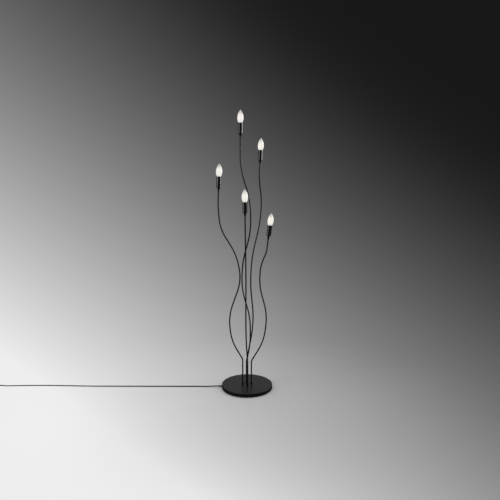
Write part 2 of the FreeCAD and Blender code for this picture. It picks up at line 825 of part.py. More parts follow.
def make_switch():
    """Build the foot switch: floor tray, cover with the button's hole, button, core and cord bushes."""
    place = FreeCAD.Placement(switch_centre(), FreeCAD.Rotation())
    plan = round_plan("switch_length", "switch_width", "switch_corner")
    tray = padded("switch_tray", plan, "switch_floor")
    cover = padded("switch_cover", plan, "switch_height - switch_floor", lift="switch_floor")
    rounded(cover, "cover_edge_round", "switch_edge",
            lambda edge: edge.BoundBox.ZMin > size("switch_height") - 0.01)
    inner = round_plan("(switch_length - 2 * switch_wall)", "(switch_width - 2 * switch_wall)",
                       "(switch_corner - switch_wall)")
    pocket(cover, "cover_hollow", "XY_Plane", outline=inner, backwards=True,
           length="switch_height - switch_wall")
    pocket(cover, "button_hole", "XY_Plane", circles=[("0", "0", "button_diameter / 2 + button_fit")])
    pocket(cover, "cord_ports", "YZ_Plane", circles=[("0", "port_height", "port_neck / 2 + bush_fit")])
    skirt_bottom = "switch_height - switch_wall - button_skirt"
    top = "switch_height + button_rise"
    button = turned("switch_button", (
        ("0", skirt_bottom),
        ("button_diameter / 2", skirt_bottom),
        ("button_diameter / 2", top + " - button_edge"),
        ("button_diameter / 2 - button_edge", top),
        ("0", top)))
    core = turned("switch_core", (
        ("0", "switch_floor"),
        ("core_diameter / 2", "switch_floor"),
        ("core_diameter / 2", skirt_bottom + " - button_travel - core_gap"),
        ("0", skirt_bottom + " - button_travel - core_gap")))
    for piece in (tray, cover, button, core):
        piece.Placement = place
        keep(piece, piece.Name)
    bushes = []
    bore = "cord_diameter / 2 + bush_bore_fit"
    for side in (-1, 1):
        bush = turned("switch_bush_%s" % ("out" if side < 0 else "in"), (
            (bore, "-switch_wall"),
            ("port_neck / 2", "-switch_wall"),
            ("port_neck / 2", "0"),
            ("port_tail_root / 2", "0"),
            ("port_tail_end / 2", "port_tail"),
            (bore, "port_tail")))
        spot = switch_centre() + Vector(side * size("switch_length") / 2, 0, size("port_height"))
        bush.Placement = FreeCAD.Placement(spot, FreeCAD.Rotation(UP, Vector(side, 0, 0)))
        bushes.append(bush)
    group("switch_bushes", bushes)


def coil_spot(turns):
    """Return a point of the coil's centre line after a number of turns from its outer start.

    The cord spirals in on the floor, climbs one layer where the spiral turns back, and spirals out.
    """
    middle = size("coil_turns") / 2
    radius = size("coil_radius") - size("coil_pitch") * (middle - abs(turns - middle))
    climb = (turns - middle) / size("coil_climb") + 0.5
    climb = min(1, max(0, climb))
    lift = size("coil_pitch") * climb * climb * (3 - 2 * climb)
    angle = math.pi / 2 + 2 * math.pi * turns
    port = switch_centre() - Vector(size("switch_length") / 2 + size("coil_lead"), size("coil_radius"), 0)
    return port + Vector(radius * math.cos(angle), radius * math.sin(angle), size("cord_on_floor") + lift)


def coil_heading(turns):
    """Return the direction of the coil's centre line there."""
    step = 0.001
    return (coil_spot(turns + step) - coil_spot(turns - step)).normalize()


def arc_from(start, heading, end):
    """Return the arc that leaves start along heading and ends at end."""
    chord = end - start
    across = chord - heading * chord.dot(heading)
    if across.Length < 1e-6:
        return Part.LineSegment(start, end).toShape()
    across.normalize()
    radius = chord.dot(chord) / (2 * chord.dot(across))
    centre = start + across * radius
    middle = centre + ((start + end) / 2 - centre).normalize() * radius
    return Part.Arc(start, middle, end).toShape()


def biarc(start, heading, end, end_heading):
    """Return the two arcs that join two points and leave and meet them along their headings."""
    gap = end - start
    both = heading + end_heading
    spread = 2 * (1 - heading.dot(end_heading))
    if spread < 1e-9:
        reach = gap.dot(gap) / (2 * gap.dot(both))
    else:
        along = gap.dot(both)
        reach = (math.sqrt(along * along + spread * gap.dot(gap)) - along) / spread
    joint = (start + heading * reach + end - end_heading * reach) / 2
    second = arc_from(end, end_heading * -1, joint)
    second.reverse()
    return [arc_from(start, heading, joint), second]


def make_coil():
    """Wind the cord from the switch into its coil and on to the plug, and measure its least gap."""
    half = size("switch_length") / 2
    port = switch_centre() + Vector(-half, 0, size("port_height"))
    lead_end = port + Vector(-size("port_tail"), 0, 0)
    turns = size("coil_turns")
    stations = [(lead_end, Vector(-1, 0, 0))]
    quarters = int(round(turns * 4))
    for quarter in range(quarters + 1):
        at = turns * quarter / quarters
        heading = coil_heading(at)
        if quarter == 0:
            heading = Vector(-1, 0, 0)
        if quarter == quarters:
            heading = Vector(1, 0, 0)
        stations.append((coil_spot(at), heading))
    plug_start = plug_tail_spot()
    tail_start = plug_start - Vector(size("cord_end_run"), 0, 0)
    stations.append((tail_start, Vector(1, 0, 0)))
    edges = [Part.LineSegment(port, lead_end).toShape()]
    for (start, heading), (end, end_heading) in zip(stations, stations[1:]):
        edges += biarc(start, heading, end, end_heading)
    edges.append(Part.LineSegment(tail_start, plug_start).toShape())
    wire = Part.Wire(edges)
    heading = Vector(-1, 0, 0)
    ring = Part.Wire(Part.makeCircle(size("cord_diameter") / 2, port, heading))
    coil = DOC.addObject("Part::Feature", "cord_coil")
    coil.Shape = wire.makePipeShell([ring], True, False)
    keep(coil, "cord_coil")
    print("coil length %.0f mm" % wire.Length)
    spacing = size("cord_diameter") / 3
    points = wire.discretize(Distance=spacing)
    skip = int(4 * size("cord_diameter") / spacing)
    least = min(points[first].distanceToPoint(points[second])
                for first in range(len(points)) for second in range(first + skip, len(points)))
    print("coil's least gap to itself %.2f mm" % (least - size("cord_diameter")))
    solid_length = coil.Shape.Volume / (math.pi * size("cord_diameter") ** 2 / 4)
    print("coil's volume over its section %.0f mm" % solid_length)


def plug_tail_spot():
    """Return the end of the plug's tail, where the cord goes in."""
    coil_end = coil_spot(size("coil_turns"))
    return Vector(coil_end.x + size("coil_lead"), coil_end.y, size("plug_thickness") / 2)


def make_plug():
    """Build the flat plug that lies on the floor beside the coil, with its two round pins."""
    shoulder = "plug_shoulder"
    plug = padded("plug_body", (
        ("0", "-plug_neck / 2"),
        (shoulder, "-plug_width / 2"),
        ("plug_length", "-plug_width / 2"),
        ("plug_length", "plug_width / 2"),
        (shoulder, "plug_width / 2"),
        ("0", "plug_neck / 2")), "plug_thickness", lift="-plug_thickness / 2")
    rounded(plug, "plug_edges", "plug_edge", lambda edge: edge.BoundBox.XMax < size("plug_length") - 0.01)
    tail = new_sketch(plug, "plug_tail_outline", "XZ_Plane")
    draw_outline(tail, (
        ("-plug_tail", "0"),
        ("-plug_tail", "plug_tail_end / 2"),
        ("plug_edge", "plug_tail_root / 2"),
        ("plug_edge", "0")))
    DOC.recompute()
    spun = plug.newObject("PartDesign::Revolution", "plug_tail_turned")
    spun.Profile = tail
    spun.ReferenceAxis = (tail, ["H_Axis"])
    spun.Angle = 360
    DOC.recompute()
    place = plug_tail_spot() + Vector(size("plug_tail"), 0, 0)
    plug.Placement = FreeCAD.Placement(place, FreeCAD.Rotation())
    keep(plug, "plug_body")
    pins = []
    for side in (-1, 1):
        pin = turned("plug_pin_%s" % ("left" if side < 0 else "right"), (
            ("0", "0"),
            ("pin_diameter / 2", "0"),
            ("pin_diameter / 2", "pin_length - pin_diameter / 2", "pin_diameter / 2"),
            ("0", "pin_length")))
        spot = place + Vector(size("plug_length"), side * size("pin_spacing") / 2, 0)
        pin.Placement = FreeCAD.Placement(spot, FreeCAD.Rotation(UP, Vector(1, 0, 0)))
        pins.append(pin)
    group("plug_pins", pins)


def make_cord():
    """Lay the cord's free stretch from the bush to the foot switch."""
    points = [Vector(*point) for point in CORD_ROUTE]
    wire, used = bent_path(points, [None] * (len(points) - 2))
    print("cord radii:", " ".join("%.0f" % radius for radius in used))
    keep(swept("cord_lead", wire, "cord_diameter / 2"), "cord_lead")
    DOC.recompute()
    solid_length = NODES["cord_lead"].Shape.Volume / (math.pi * size("cord_diameter") ** 2 / 4)
    print("cord length %.0f mm, volume over its section %.0f mm" % (wire.Length, solid_length))


def check_and_write():
    """Stop on any failed object or bad shape, then write each sub-part to its own file."""
    DOC.recompute()
    for item in DOC.Objects:
        if "Invalid" in item.State or "Error" in item.State:
            raise ValueError(item.Label + " failed: " + ", ".join(item.State))
    for label, item in NODES.items():
        shape = item.Shape
        if shape.isNull() or not shape.isValid() or not shape.Solids:
            raise ValueError(label + " has no sound solid")
    os.makedirs("parts", exist_ok=True)
    for label, item in NODES.items():
        item.Shape.exportStep("parts/%s.step" % label)
    print(len(NODES), "sub-parts written")


fill_sheet()
make_base()
make_feet()
for name in ARMS:
    make_arm(name)
    make_candle(name)
make_contacts()
for name in ARMS:
    make_bulb(name)
make_inlet()
make_wires()
make_cord()
make_switch()
make_coil()
make_plug()
check_and_write()
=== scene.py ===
# %% [markdown]
# # A floor lamp like a young tree
#
# Five thin black tubes rise in waves from a heavy round foot. Each ends in a small spun cup, a glossy
# candle sleeve and a lit candle bulb. The metal, the bulbs and the foot switch already have their true
# shapes in the CAD model, so this notebook loads that model as a fixed frame and gives it what CAD
# leaves out: finishes, the soft cord, the ribbed bend relief, screw heads with a drive, and light.

# %% Load the frame
import json
import math

import bmesh
import bpy
from mathutils import Matrix, Vector


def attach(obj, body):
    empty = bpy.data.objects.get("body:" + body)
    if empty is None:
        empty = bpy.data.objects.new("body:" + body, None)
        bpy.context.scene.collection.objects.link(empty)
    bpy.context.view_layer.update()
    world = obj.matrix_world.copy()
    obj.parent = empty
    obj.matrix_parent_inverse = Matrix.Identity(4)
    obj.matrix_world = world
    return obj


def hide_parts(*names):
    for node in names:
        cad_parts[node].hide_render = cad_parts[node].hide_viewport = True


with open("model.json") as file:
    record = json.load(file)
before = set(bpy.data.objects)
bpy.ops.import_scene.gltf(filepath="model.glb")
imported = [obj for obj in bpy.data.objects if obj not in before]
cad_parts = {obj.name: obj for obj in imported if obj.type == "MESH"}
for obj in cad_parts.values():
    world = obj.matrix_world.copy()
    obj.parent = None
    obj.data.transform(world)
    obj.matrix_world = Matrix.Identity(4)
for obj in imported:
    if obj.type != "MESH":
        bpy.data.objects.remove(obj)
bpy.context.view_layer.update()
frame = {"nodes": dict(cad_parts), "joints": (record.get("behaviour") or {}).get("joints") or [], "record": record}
nodes = frame["nodes"]

# %% [markdown]
# ## The photographer's place
#
# The camera comes first, because everything else is judged through it. Its height, distance and lens
# were found from the round foot, which the photograph shows as a thin ellipse, and from the bulbs,
# which are of a known size. A long lens from far away would flatten the foot too much, and a wide one
# would spread the bulbs.

# %% Set the camera
CAMERA_PLACE = (0.0175, -3.380, 1.461)
CAMERA_PITCH = 10.5
LENS = 43.2
SENSOR_WIDTH = 36


def add_object(name, data):
    """Put an object with this data into the scene."""
    thing = bpy.data.objects.new(name, data)
    bpy.context.scene.collection.objects.link(thing)
    return thing


camera_data = bpy.data.cameras.new("photo_camera")
camera_data.lens = LENS
camera_data.sensor_width = SENSOR_WIDTH
camera = add_object("photo_camera", camera_data)
camera.location = CAMERA_PLACE
camera.rotation_euler = (math.radians(90 - CAMERA_PITCH), 0, 0)
bpy.context.scene.camera = camera
bpy.context.scene.view_settings.view_transform = "Standard"
print("camera at", CAMERA_PLACE, "looking", CAMERA_PITCH, "degrees down")

# %% [markdown]
# ## Writing materials as sums
#
# A shader is a calculation, but a tree of nodes hides that. A small class that wraps a socket and
# knows plus, minus, times and power lets a material read like the sum that it is. All nodes come from
# one method of a second class, so there is a single place where they are made, set and linked.

# %% Wrap a socket
class Signal:
    """A number, colour, vector or shader on its way through the nodes of a finish."""

    def __init__(self, finish, socket):
        self.finish = finish
        self.socket = socket

    def __add__(self, other):
        return self.finish.math("ADD", self, other)

    def __sub__(self, other):
        return self.finish.math("SUBTRACT", self, other)

    def __rsub__(self, other):
        return self.finish.math("SUBTRACT", other, self)

    def __mul__(self, other):
        return self.finish.math("MULTIPLY", self, other)

    def __pow__(self, other):
        return self.finish.math("POWER", self, other)

    __radd__ = __add__
    __rmul__ = __mul__


# %% Collect the nodes of a material or world
class Finish:
    """A new material or world, and the nodes that are added to it one by one."""

    def __init__(self, holder):
        holder.use_nodes = True
        self.holder = holder
        self.tree = holder.node_tree
        self.surface = self.tree.nodes.get("Principled BSDF")

    def node(self, kind, settings=None, sockets=None, output=0):
        """Add a node: first its settings, then values or links for its sockets, by name or number."""
        made = self.tree.nodes.new(kind)
        for name, value in (settings or {}).items():
            setattr(made, name, value)
        for key, value in (sockets or {}).items():
            self.feed(made.inputs[key], value)
        return Signal(self, made.outputs[output])

    def feed(self, socket, value):
        """Link a signal to a socket, or write a plain value on it. A plain colour has three numbers."""
        if isinstance(value, Signal):
            self.tree.links.new(value.socket, socket)
        elif socket.type == "RGBA":
            socket.default_value = (*value, 1)
        else:
            socket.default_value = value

    def math(self, operation, *values):
        """Add one step of arithmetic on numbers."""
        return self.node("ShaderNodeMath", {"operation": operation}, dict(enumerate(values)))

    def surface_of(self, sockets):
        """Set the sockets of a material's own surface, and return the material."""
        for name, value in sockets.items():
            self.feed(self.surface.inputs[name], value)
        return self.holder

    def show(self, shader):
        """Let the material or world end in this shader instead of its own."""
        end = next(node for node in self.tree.nodes if node.name.endswith("Output"))
        self.feed(end.inputs["Surface"], shader)


# %% [markdown]
# ## Backdrop
#
# The photograph was taken against a plain studio grey that is lightest at the lower left and darkest
# at the upper right. A wall behind the lamp could carry it, but would get in the way of views from
# behind. So the grey lives in the world, where it depends on nothing but the direction of view. In the
# directions that the photograph doesn't show it is a plain mid grey, so the black stems stand out from
# all sides. The sums give greys as a screen shows them, and a power turns them into amounts of light.

# %% Mix the grey of the backdrop
SCREEN_GAMMA = 2.2
# The picture's grey straight ahead, how it falls sideways and upwards, its twist and its bends.
GREY_MIDDLE = 0.309
GREY_SIDE = 0.648
GREY_HEIGHT = 0.88
GREY_TWIST = 0.262
GREY_HEIGHT_BEND = 0.276
GREY_SIDE_BEND = 0.204
GREY_LEAST = 0.12
GREY_ROUNDING = 0.1
GREY_MOST = 0.93
# The plain grey of all other directions, and how far ahead a direction points where it takes over.
PLAIN_MIDDLE = 0.6
PLAIN_HEIGHT = 0.45
PLAIN_MOST = 0.76
PICTURE_EDGE = (0.35, 0.75)


def split(vector):
    """Return a vector's three numbers."""
    parts = vector.finish.node("ShaderNodeSeparateXYZ", sockets={"Vector": vector}).socket.node
    return [Signal(vector.finish, socket) for socket in parts.outputs]


def fade(value, start, end):
    """Return 0 at start, 1 at end, which may be the lower one, and a smooth change between."""
    return value.finish.node("ShaderNodeMapRange", {"interpolation_type": "SMOOTHSTEP"},
                             {"Value": value, "From Min": start, "From Max": end})


world = bpy.data.worlds.new("studio")
bpy.context.scene.world = world
studio = Finish(world)
side, deep, up = split(studio.node("ShaderNodeTexCoord", output="Generated"))
pictured = (GREY_MIDDLE - side * GREY_SIDE - up * GREY_HEIGHT + side * up * GREY_TWIST
            + up * up * GREY_HEIGHT_BEND + side * side * GREY_SIDE_BEND)
pictured = studio.math("SMOOTH_MAX", pictured, GREY_LEAST, GREY_ROUNDING)
pictured = studio.math("MINIMUM", pictured, GREY_MOST)
plain = studio.math("MINIMUM", PLAIN_MIDDLE - up * PLAIN_HEIGHT, PLAIN_MOST)
ahead = fade(deep, *PICTURE_EDGE)
grey = (pictured * ahead + plain * (1 - ahead)) ** SCREEN_GAMMA
print("backdrop from", GREY_LEAST, "to", GREY_MOST, "of screen white")

# %% [markdown]
# ## Reflections and fill
#
# Black lacquer shows its surroundings more than itself. Reflections of the backdrop would make the
# sleeves evenly grey, and real walls and lit panels would stand in the picture. So the world shows the
# backdrop to the eye alone, directly or through glass. Glossy rays see a dark room instead, with a grey
# wall at the far end and a tall lit panel on either side, which draws a thin light line down each
# sleeve. All other light comes as an even soft grey.

# %% Build the room that reflections see
ROOM_DARK = 0.06
WALL_TONE = 0.34
RIGHT_PANEL_TONE = 3.6
LEFT_PANEL_TONE = 0.7
FILL_TONE = (0.5, 0.5, 0.5)
FILL_STRENGTH = 0.9
# Each pair is where an edge starts and ends, as a part of the direction sideways, ahead or upwards.
WALL_SIDES = (0.2, 0.8)
WALL_FOOT = (0.12, 0.32)
PANELS_FOOT = (-0.2, -0.05)
RIGHT_PANEL_SIDE = (0.8, 0.88)
RIGHT_PANEL_NEAR = (-0.1, 0.0)
RIGHT_PANEL_FAR = (0.5, 0.4)
LEFT_PANEL_SIDE = (-0.82, -0.9)
LEFT_PANEL_FAR = (-0.1, -0.25)


def join(factor, one, two):
    """Mix two whole shaders."""
    return factor.finish.node("ShaderNodeMixShader", sockets={0: factor, 1: one, 2: two})


def light_path(finish, ray):
    """Return 1 for one kind of ray and 0 for the others."""
    return finish.node("ShaderNodeLightPath", output="Is " + ray + " Ray")


right_panel = fade(side, *RIGHT_PANEL_SIDE) * fade(deep, *RIGHT_PANEL_NEAR) * fade(deep, *RIGHT_PANEL_FAR)
left_panel = fade(side, *LEFT_PANEL_SIDE) * fade(deep, *LEFT_PANEL_FAR)
panels = (right_panel * RIGHT_PANEL_TONE + left_panel * LEFT_PANEL_TONE) * fade(up, *PANELS_FOOT)
wall = fade(deep, *WALL_SIDES) * fade(up, *WALL_FOOT) * WALL_TONE
backdrop = studio.node("ShaderNodeBackground", sockets={"Color": grey})
room = studio.node("ShaderNodeBackground", sockets={"Color": wall + panels + ROOM_DARK})
fill = studio.node("ShaderNodeBackground", sockets={"Color": FILL_TONE, "Strength": FILL_STRENGTH})
unseen = join(light_path(studio, "Glossy"), fill, room)
seen = studio.math("MINIMUM", light_path(studio, "Camera") + light_path(studio, "Transmission"), 1.0)
studio.show(join(seen, unseen, backdrop))
print("world of", len(studio.tree.nodes), "nodes")

# %% [markdown]
# ## Floor
#
# The lamp stands on a large disc in the backdrop's own greys, with painted shading: its grey darkens to
# the right and away from the camera, as the studio light falls off. It fades out towards its rim, so it
# can catch the foot's soft shadow without a hard horizon. It looks much darker in the lamp's reflections
# than to the eye, or the black stems would turn grey near the foot, and it is clear from below, so
# that it doesn't hide the lamp.

# %% Lay the floor
FLOOR_RADIUS = 4.0
FLOOR_SEGMENTS = 96
FLOOR_DROP = 0.0003
FLOOR_RIM = (0.3, 1.5)
FLOOR_MIRRORED = 0.15
FLOOR_DULL = 0.9
FLOOR_MIDDLE = 0.755
# The floor's painted shading: how much darker its grey gets to the right and away from the camera.
FLOOR_SHADE_SIDEWAYS = 0.196
FLOOR_SHADE_AWAY = 0.105


def object_spot(finish):
    """Return object coordinates in metres."""
    return finish.node("ShaderNodeTexCoord", output="Object")


shape = bmesh.new()
bmesh.ops.create_circle(shape, cap_ends=True, segments=FLOOR_SEGMENTS, radius=FLOOR_RADIUS)
bmesh.ops.translate(shape, verts=shape.verts, vec=(0, 0, -FLOOR_DROP))
floor_mesh = bpy.data.meshes.new("floor")
shape.to_mesh(floor_mesh)
shape.free()
floor = add_object("floor", floor_mesh)

paper = Finish(bpy.data.materials.new("studio floor"))
across, away, _ = split(object_spot(paper))
# Painted shading: the floor's grey darkens to the right and away from the camera, as the studio light falls off.
shaded_floor_grey = (FLOOR_MIDDLE - across * FLOOR_SHADE_SIDEWAYS - away * FLOOR_SHADE_AWAY) ** SCREEN_GAMMA
shaded_floor_grey = shaded_floor_grey * (light_path(paper, "Camera") * (1 - FLOOR_MIRRORED) + FLOOR_MIRRORED)
paper.surface_of({"Base Color": shaded_floor_grey, "Roughness": FLOOR_DULL, "Specular IOR Level": 0.0})
solid = Signal(paper, paper.surface.outputs[0])
clear = paper.node("ShaderNodeBsdfTransparent")
from_below = paper.node("ShaderNodeNewGeometry", output="Backfacing")
reach = (across * across + away * away) ** 0.5
gone = paper.math("MAXIMUM", fade(reach, *FLOOR_RIM), from_below)
paper.show(join(gone, solid, clear))
floor_mesh.materials.append(paper.holder)
print("floor fades out from", FLOOR_RIM[0], "to", FLOOR_RIM[1], "m")

# %% [markdown]
# ## Soft lamps
#
# A studio lights a black lamp with large soft boxes, because small bright lamps leave hard dots on
# lacquer. Three rectangles do that here: a tall strip on either side, which follows the stems, and a
# wide one overhead for the top of the foot.

# %% Hang the soft lamps
def soft_lamp(name, place, aim, width, height, power):
    """Hang a rectangular studio lamp that faces a point."""
    data = bpy.data.lights.new(name, "AREA")
    data.shape = "RECTANGLE"
    data.size = width
    data.size_y = height
    data.energy = power
    lamp = add_object(name, data)
    lamp.location = place
    lamp.rotation_euler = (Vector(aim) - Vector(place)).to_track_quat("-Z", "Y").to_euler()
    print(name, "of", power, "W")


soft_lamp("left_strip", place=(-2.2, -1.0, 1.4), aim=(0, 0, 1.0), width=0.6, height=2.0, power=14)
soft_lamp("right_strip", place=(2.4, 0.5, 1.7), aim=(0, 0, 1.2), width=0.4, height=1.6, power=15)
soft_lamp("overhead", place=(0.2, 0.9, 3.0), aim=(0, 0, 0.4), width=2.0, height=1.4, power=30)

# %% [markdown]
# ## Black metal
#
# Tubes, cups and foot are powder coated: a plastic powder is sprayed on and baked, which leaves a
# satin skin with a very fine orange peel, about a millimetre across. Modelling the peel would take
# millions of faces, so a bump from fine noise gives it, and a slow noise makes the sheen drift a
# little, as it does on a real coat. The foot is a shade duller than the tubes, and its rim carries a
# painted highlight: its colour turns lighter in patches round the outer edge.

# %% Name the patterns of a surface
MIX_COLOURS = (6, 7)
MIX_RESULT = 2


def noise(vector, per_metre, detail=2.0):
    """Return smooth random values from 0 to 1, so many to the metre."""
    return vector.finish.node("ShaderNodeTexNoise",
                              sockets={"Vector": vector, "Scale": per_metre, "Detail": detail})


def blend(factor, one, two):
    """Mix two colours. A Mix node has a pair of sockets and a result for each kind of value."""
    first, second = MIX_COLOURS
    return factor.finish.node("ShaderNodeMix", {"data_type": "RGBA"},
                              {"Factor": factor, first: one, second: two}, MIX_RESULT)


def between(factor, low, high):
    """Return low where the factor is 0 and high where it is 1."""
    return factor * (high - low) + low


def bump(height, depth):
    """Return a normal that a height pattern of so many metres presses into the surface."""
    return height.finish.node("ShaderNodeBump", sockets={"Height": height, "Distance": depth})


# %% Mix the black coats
RIM_START = 0.1475
RIM_END = 0.1497
# How strongly the painted highlight round the foot's rim shows, and its lighter colour.
RIM_HIGHLIGHT_SHARE = 0.5
RIM_HIGHLIGHT = (0.03, 0.03, 0.031)
TUBE_DARK = (0.003, 0.003, 0.0033)
TUBE_LIGHT = (0.006, 0.006, 0.0063)
TUBE_MIRROR = 0.45
FOOT_DARK = (0.004, 0.004, 0.004)
FOOT_LIGHT = (0.008, 0.0078, 0.0078)
FOOT_MIRROR = 0.25
PEEL_DEPTH = 0.000012
DRIFT_WEIGHT = 0.7


def satin_black(name, dark, light, dull, shiny, mirror):
    """Make a powder coat that drifts between two greys and two degrees of gloss."""
    coat = Finish(bpy.data.materials.new(name))
    drift = noise(object_spot(coat), per_metre=14, detail=3.0)
    peel = noise(object_spot(coat), per_metre=900)
    colour = blend(DRIFT_WEIGHT * drift + (1 - DRIFT_WEIGHT) * peel, dark, light)
    coat.surface_of({"Base Color": colour, "Roughness": between(drift, shiny, dull),
                     "Specular IOR Level": mirror, "Normal": bump(peel, PEEL_DEPTH)})
    return coat, colour


def paint_rim_highlight(coat, colour):
    """Paint a highlight round a round foot's rim: its colour turns lighter in patches."""
    east, north, _ = split(object_spot(coat))
    from_middle = (east * east + north * north) ** 0.5
    highlight_patches = noise(object_spot(coat), per_metre=60, detail=3.0)
    # Painted highlight: the colour turns lighter in patches round the rim.
    rim_highlight = fade(from_middle, RIM_START, RIM_END) * highlight_patches * RIM_HIGHLIGHT_SHARE
    coat.surface_of({"Base Color": blend(rim_highlight, colour, RIM_HIGHLIGHT)})


tube_black, _ = satin_black("satin black tube", TUBE_DARK, TUBE_LIGHT, dull=0.42, shiny=0.3,
                            mirror=TUBE_MIRROR)
cup_black, _ = satin_black("satin black cup", TUBE_DARK, TUBE_LIGHT, dull=0.32, shiny=0.22,
                           mirror=TUBE_MIRROR)
foot_black, foot_colour = satin_black("satin black foot", FOOT_DARK, FOOT_LIGHT, dull=0.36, shiny=0.26,
                                      mirror=FOOT_MIRROR)
paint_rim_highlight(foot_black, foot_colour)
print("black coats:", [coat.holder.name for coat in (tube_black, cup_black, foot_black)])

# %% [markdown]
# ## The seats of the bulbs
#
# Sleeves and bulbs lean with the end of their tube, and their patterns have to lean with them. An image
# wrapped round each of them would do that, but the frame already says where each bulb sits and which
# way it points: those are the place and the axis of the hinge that it unscrews on. Object coordinates
# that are counted from there run straight up the bulb.

# %% Find the seats
seats = {}
for joint in frame["joints"]:
    if joint["type"] == "hinge":
        lean = Vector(joint["axis"]).to_track_quat("Z", "Y").to_euler()
        seats[joint["child"].replace("_bulb", "")] = (tuple(joint["pos_m"]), tuple(lean))
print("bulbs at:", {arm: [round(part, 3) for part in place] for arm, (place, _) in seats.items()})


def seat_spot(finish, seat):
    """Return coordinates in metres, counted from a bulb's seat and along its lean."""
    place, lean = seat
    return finish.node("ShaderNodeMapping", {"vector_type": "TEXTURE"},
                       {"Vector": object_spot(finish), "Location": place, "Rotation": lean})


def stretched(vector, across, along):
    """Scale a vector more across than along, for marks that run lengthwise."""
    return vector.finish.node("ShaderNodeMapping", {"vector_type": "POINT"},
                              {"Vector": vector, "Scale": (across, across, along)})


# %% [markdown]
# ## Glossy candle sleeves
#
# The sleeves are lacquered, far shinier than the tubes: the photograph shows a black core with a grey
# band of studio light beside it. A clear coat over a black base does that. Faint lines run along the
# sleeve, left from drawing the tube, and a sparse speckle of dust breaks the mirror.

# %% Mix the lacquer
LACQUER_BLACK = (0.002, 0.002, 0.0022)
LACQUER_DUST = (0.012, 0.012, 0.0118)
LACQUER_DULL = (0.2, 0.4)
COAT_DULL = 0.05
DUST_FROM = (0.66, 0.8)
DRAW_LINE_DEPTH = 0.0000008


def lacquer(arm):
    """Make one sleeve's lacquer, with its draw lines along the sleeve."""
    coat = Finish(bpy.data.materials.new("black lacquer " + arm))
    spot = seat_spot(coat, seats[arm])
    lines = noise(stretched(spot, across=1.0, along=0.02), per_metre=1600)
    dust = fade(noise(spot, per_metre=700), *DUST_FROM)
    return coat.surface_of({"Base Color": blend(dust, LACQUER_BLACK, LACQUER_DUST),
                            "Roughness": between(dust, *LACQUER_DULL), "Coat Weight": 1.0,
                            "Coat Roughness": COAT_DULL, "Normal": bump(lines, DRAW_LINE_DEPTH)})


# %% [markdown]
# ## Lit candle bulbs
#
# A lit filament bulb of clear glass looks almost white: the glass glows most where it is widest, stays
# greyer at the thin tip, and four bright filaments show through as upright streaks. Real light bounced
# in a thin shell would need many samples, so the shell gives off its own soft glow and is partly
# see-through, while the filaments inside are far brighter. The glow depends on the height along the
# bulb, which is why each bulb's pattern starts at its own seat and leans with it.

# %% Mix the glass
GLASS_LOW = 0.0499
GLASS_BELLY = 0.0829
GLASS_TIP = 0.1281
GLASS_RISE = (GLASS_LOW - 0.004, GLASS_LOW + 0.022)
GLASS_FALL = (GLASS_BELLY + 0.012, GLASS_TIP + 0.002)
GLASS_GLOW = 0.84
GLOW_AT_CAP = 0.55
GLOW_AT_TIP = 0.58
GLOW_STREAKS = (0.87, 1.07)
GLASS_TINT = (0.08, 0.08, 0.08)
GLASS_SOLID = (0.64, 0.78)
GLASS_DULL = 0.05
GLASS_SHINE = 0.6
GLASS_SHINE_DULL = 0.03
TIP_LIGHT = (0.86, 0.84, 0.80)
BELLY_LIGHT = (1.0, 0.965, 0.90)


def lit_glass(arm):
    """Make one bulb's glowing glass."""
    glass = Finish(bpy.data.materials.new("lit glass " + arm))
    spot = seat_spot(glass, seats[arm])
    height = split(spot)[2]
    rise = fade(height, *GLASS_RISE)
    fall = 1 - fade(height, *GLASS_FALL)
    streak = noise(stretched(spot, across=1.0, along=0.12), per_metre=330, detail=1.0)
    glow = (between(rise, GLOW_AT_CAP, 1) * between(fall, GLOW_AT_TIP, 1)
            * between(streak, *GLOW_STREAKS))
    light = glass.node("ShaderNodeVectorMath", {"operation": "SCALE"},
                       {"Vector": blend(fall, TIP_LIGHT, BELLY_LIGHT), "Scale": glow})
    return glass.surface_of({"Base Color": GLASS_TINT, "Roughness": GLASS_DULL,
                             "Alpha": between(fall, *GLASS_SOLID),
                             "Emission Color": light, "Emission Strength": GLASS_GLOW,
                             "Coat Weight": GLASS_SHINE, "Coat Roughness": GLASS_SHINE_DULL})


# %% Mix the filaments
ROD_LOW = 0.0669
ROD_HIGH = 0.1029
ROD_CIRCLE = 0.0035
ROD_GLOW = 2.0
ROD_DULL = 0.35
ROD_COLOUR = (1.0, 0.9, 0.6)
ROD_LIGHT = (1.0, 0.82, 0.55)
WIRE_COLOUR = (0.62, 0.6, 0.56)
# Painted glow: the wire stars and glass stem give off faint light, as if lit by the filaments.
WIRE_PAINTED_GLOW = (0.05, 0.045, 0.035)


def hot_filament(arm):
    """Make the filament cage: rods that glow, on wire stars and a clear glass stem with a faint painted glow."""
    rods = Finish(bpy.data.materials.new("hot filament " + arm))
    x, y, z = split(seat_spot(rods, seats[arm]))
    radius = (x * x + y * y) ** 0.5
    on_rod = (rods.math("GREATER_THAN", radius, ROD_CIRCLE) * rods.math("GREATER_THAN", z, ROD_LOW)
              * rods.math("LESS_THAN", z, ROD_HIGH))
    return rods.surface_of({"Base Color": blend(on_rod, WIRE_COLOUR, ROD_COLOUR), "Roughness": ROD_DULL,
                            "Emission Color": blend(on_rod, WIRE_PAINTED_GLOW, ROD_LIGHT),
                            "Emission Strength": ROD_GLOW})


# %% [markdown]
# ## Plastics, rubber and metal fittings
#
# The foot switch and plug are moulded with a spark-eroded grain, which is a fine random pitting. The
# cord's sheath is smoother and slightly waxy. Screws, caps and pins are plated or bare metal with fine
# scratches. Each could have a recipe of its own, but they differ only in numbers. So two functions
# make them all: a fine grain as bump, and a slow cloud in the colour and the gloss.

# %% Mix the moulded finishes
MOULDED_WEIGHT = 0.6
MOULDED_DRIFT = 0.1
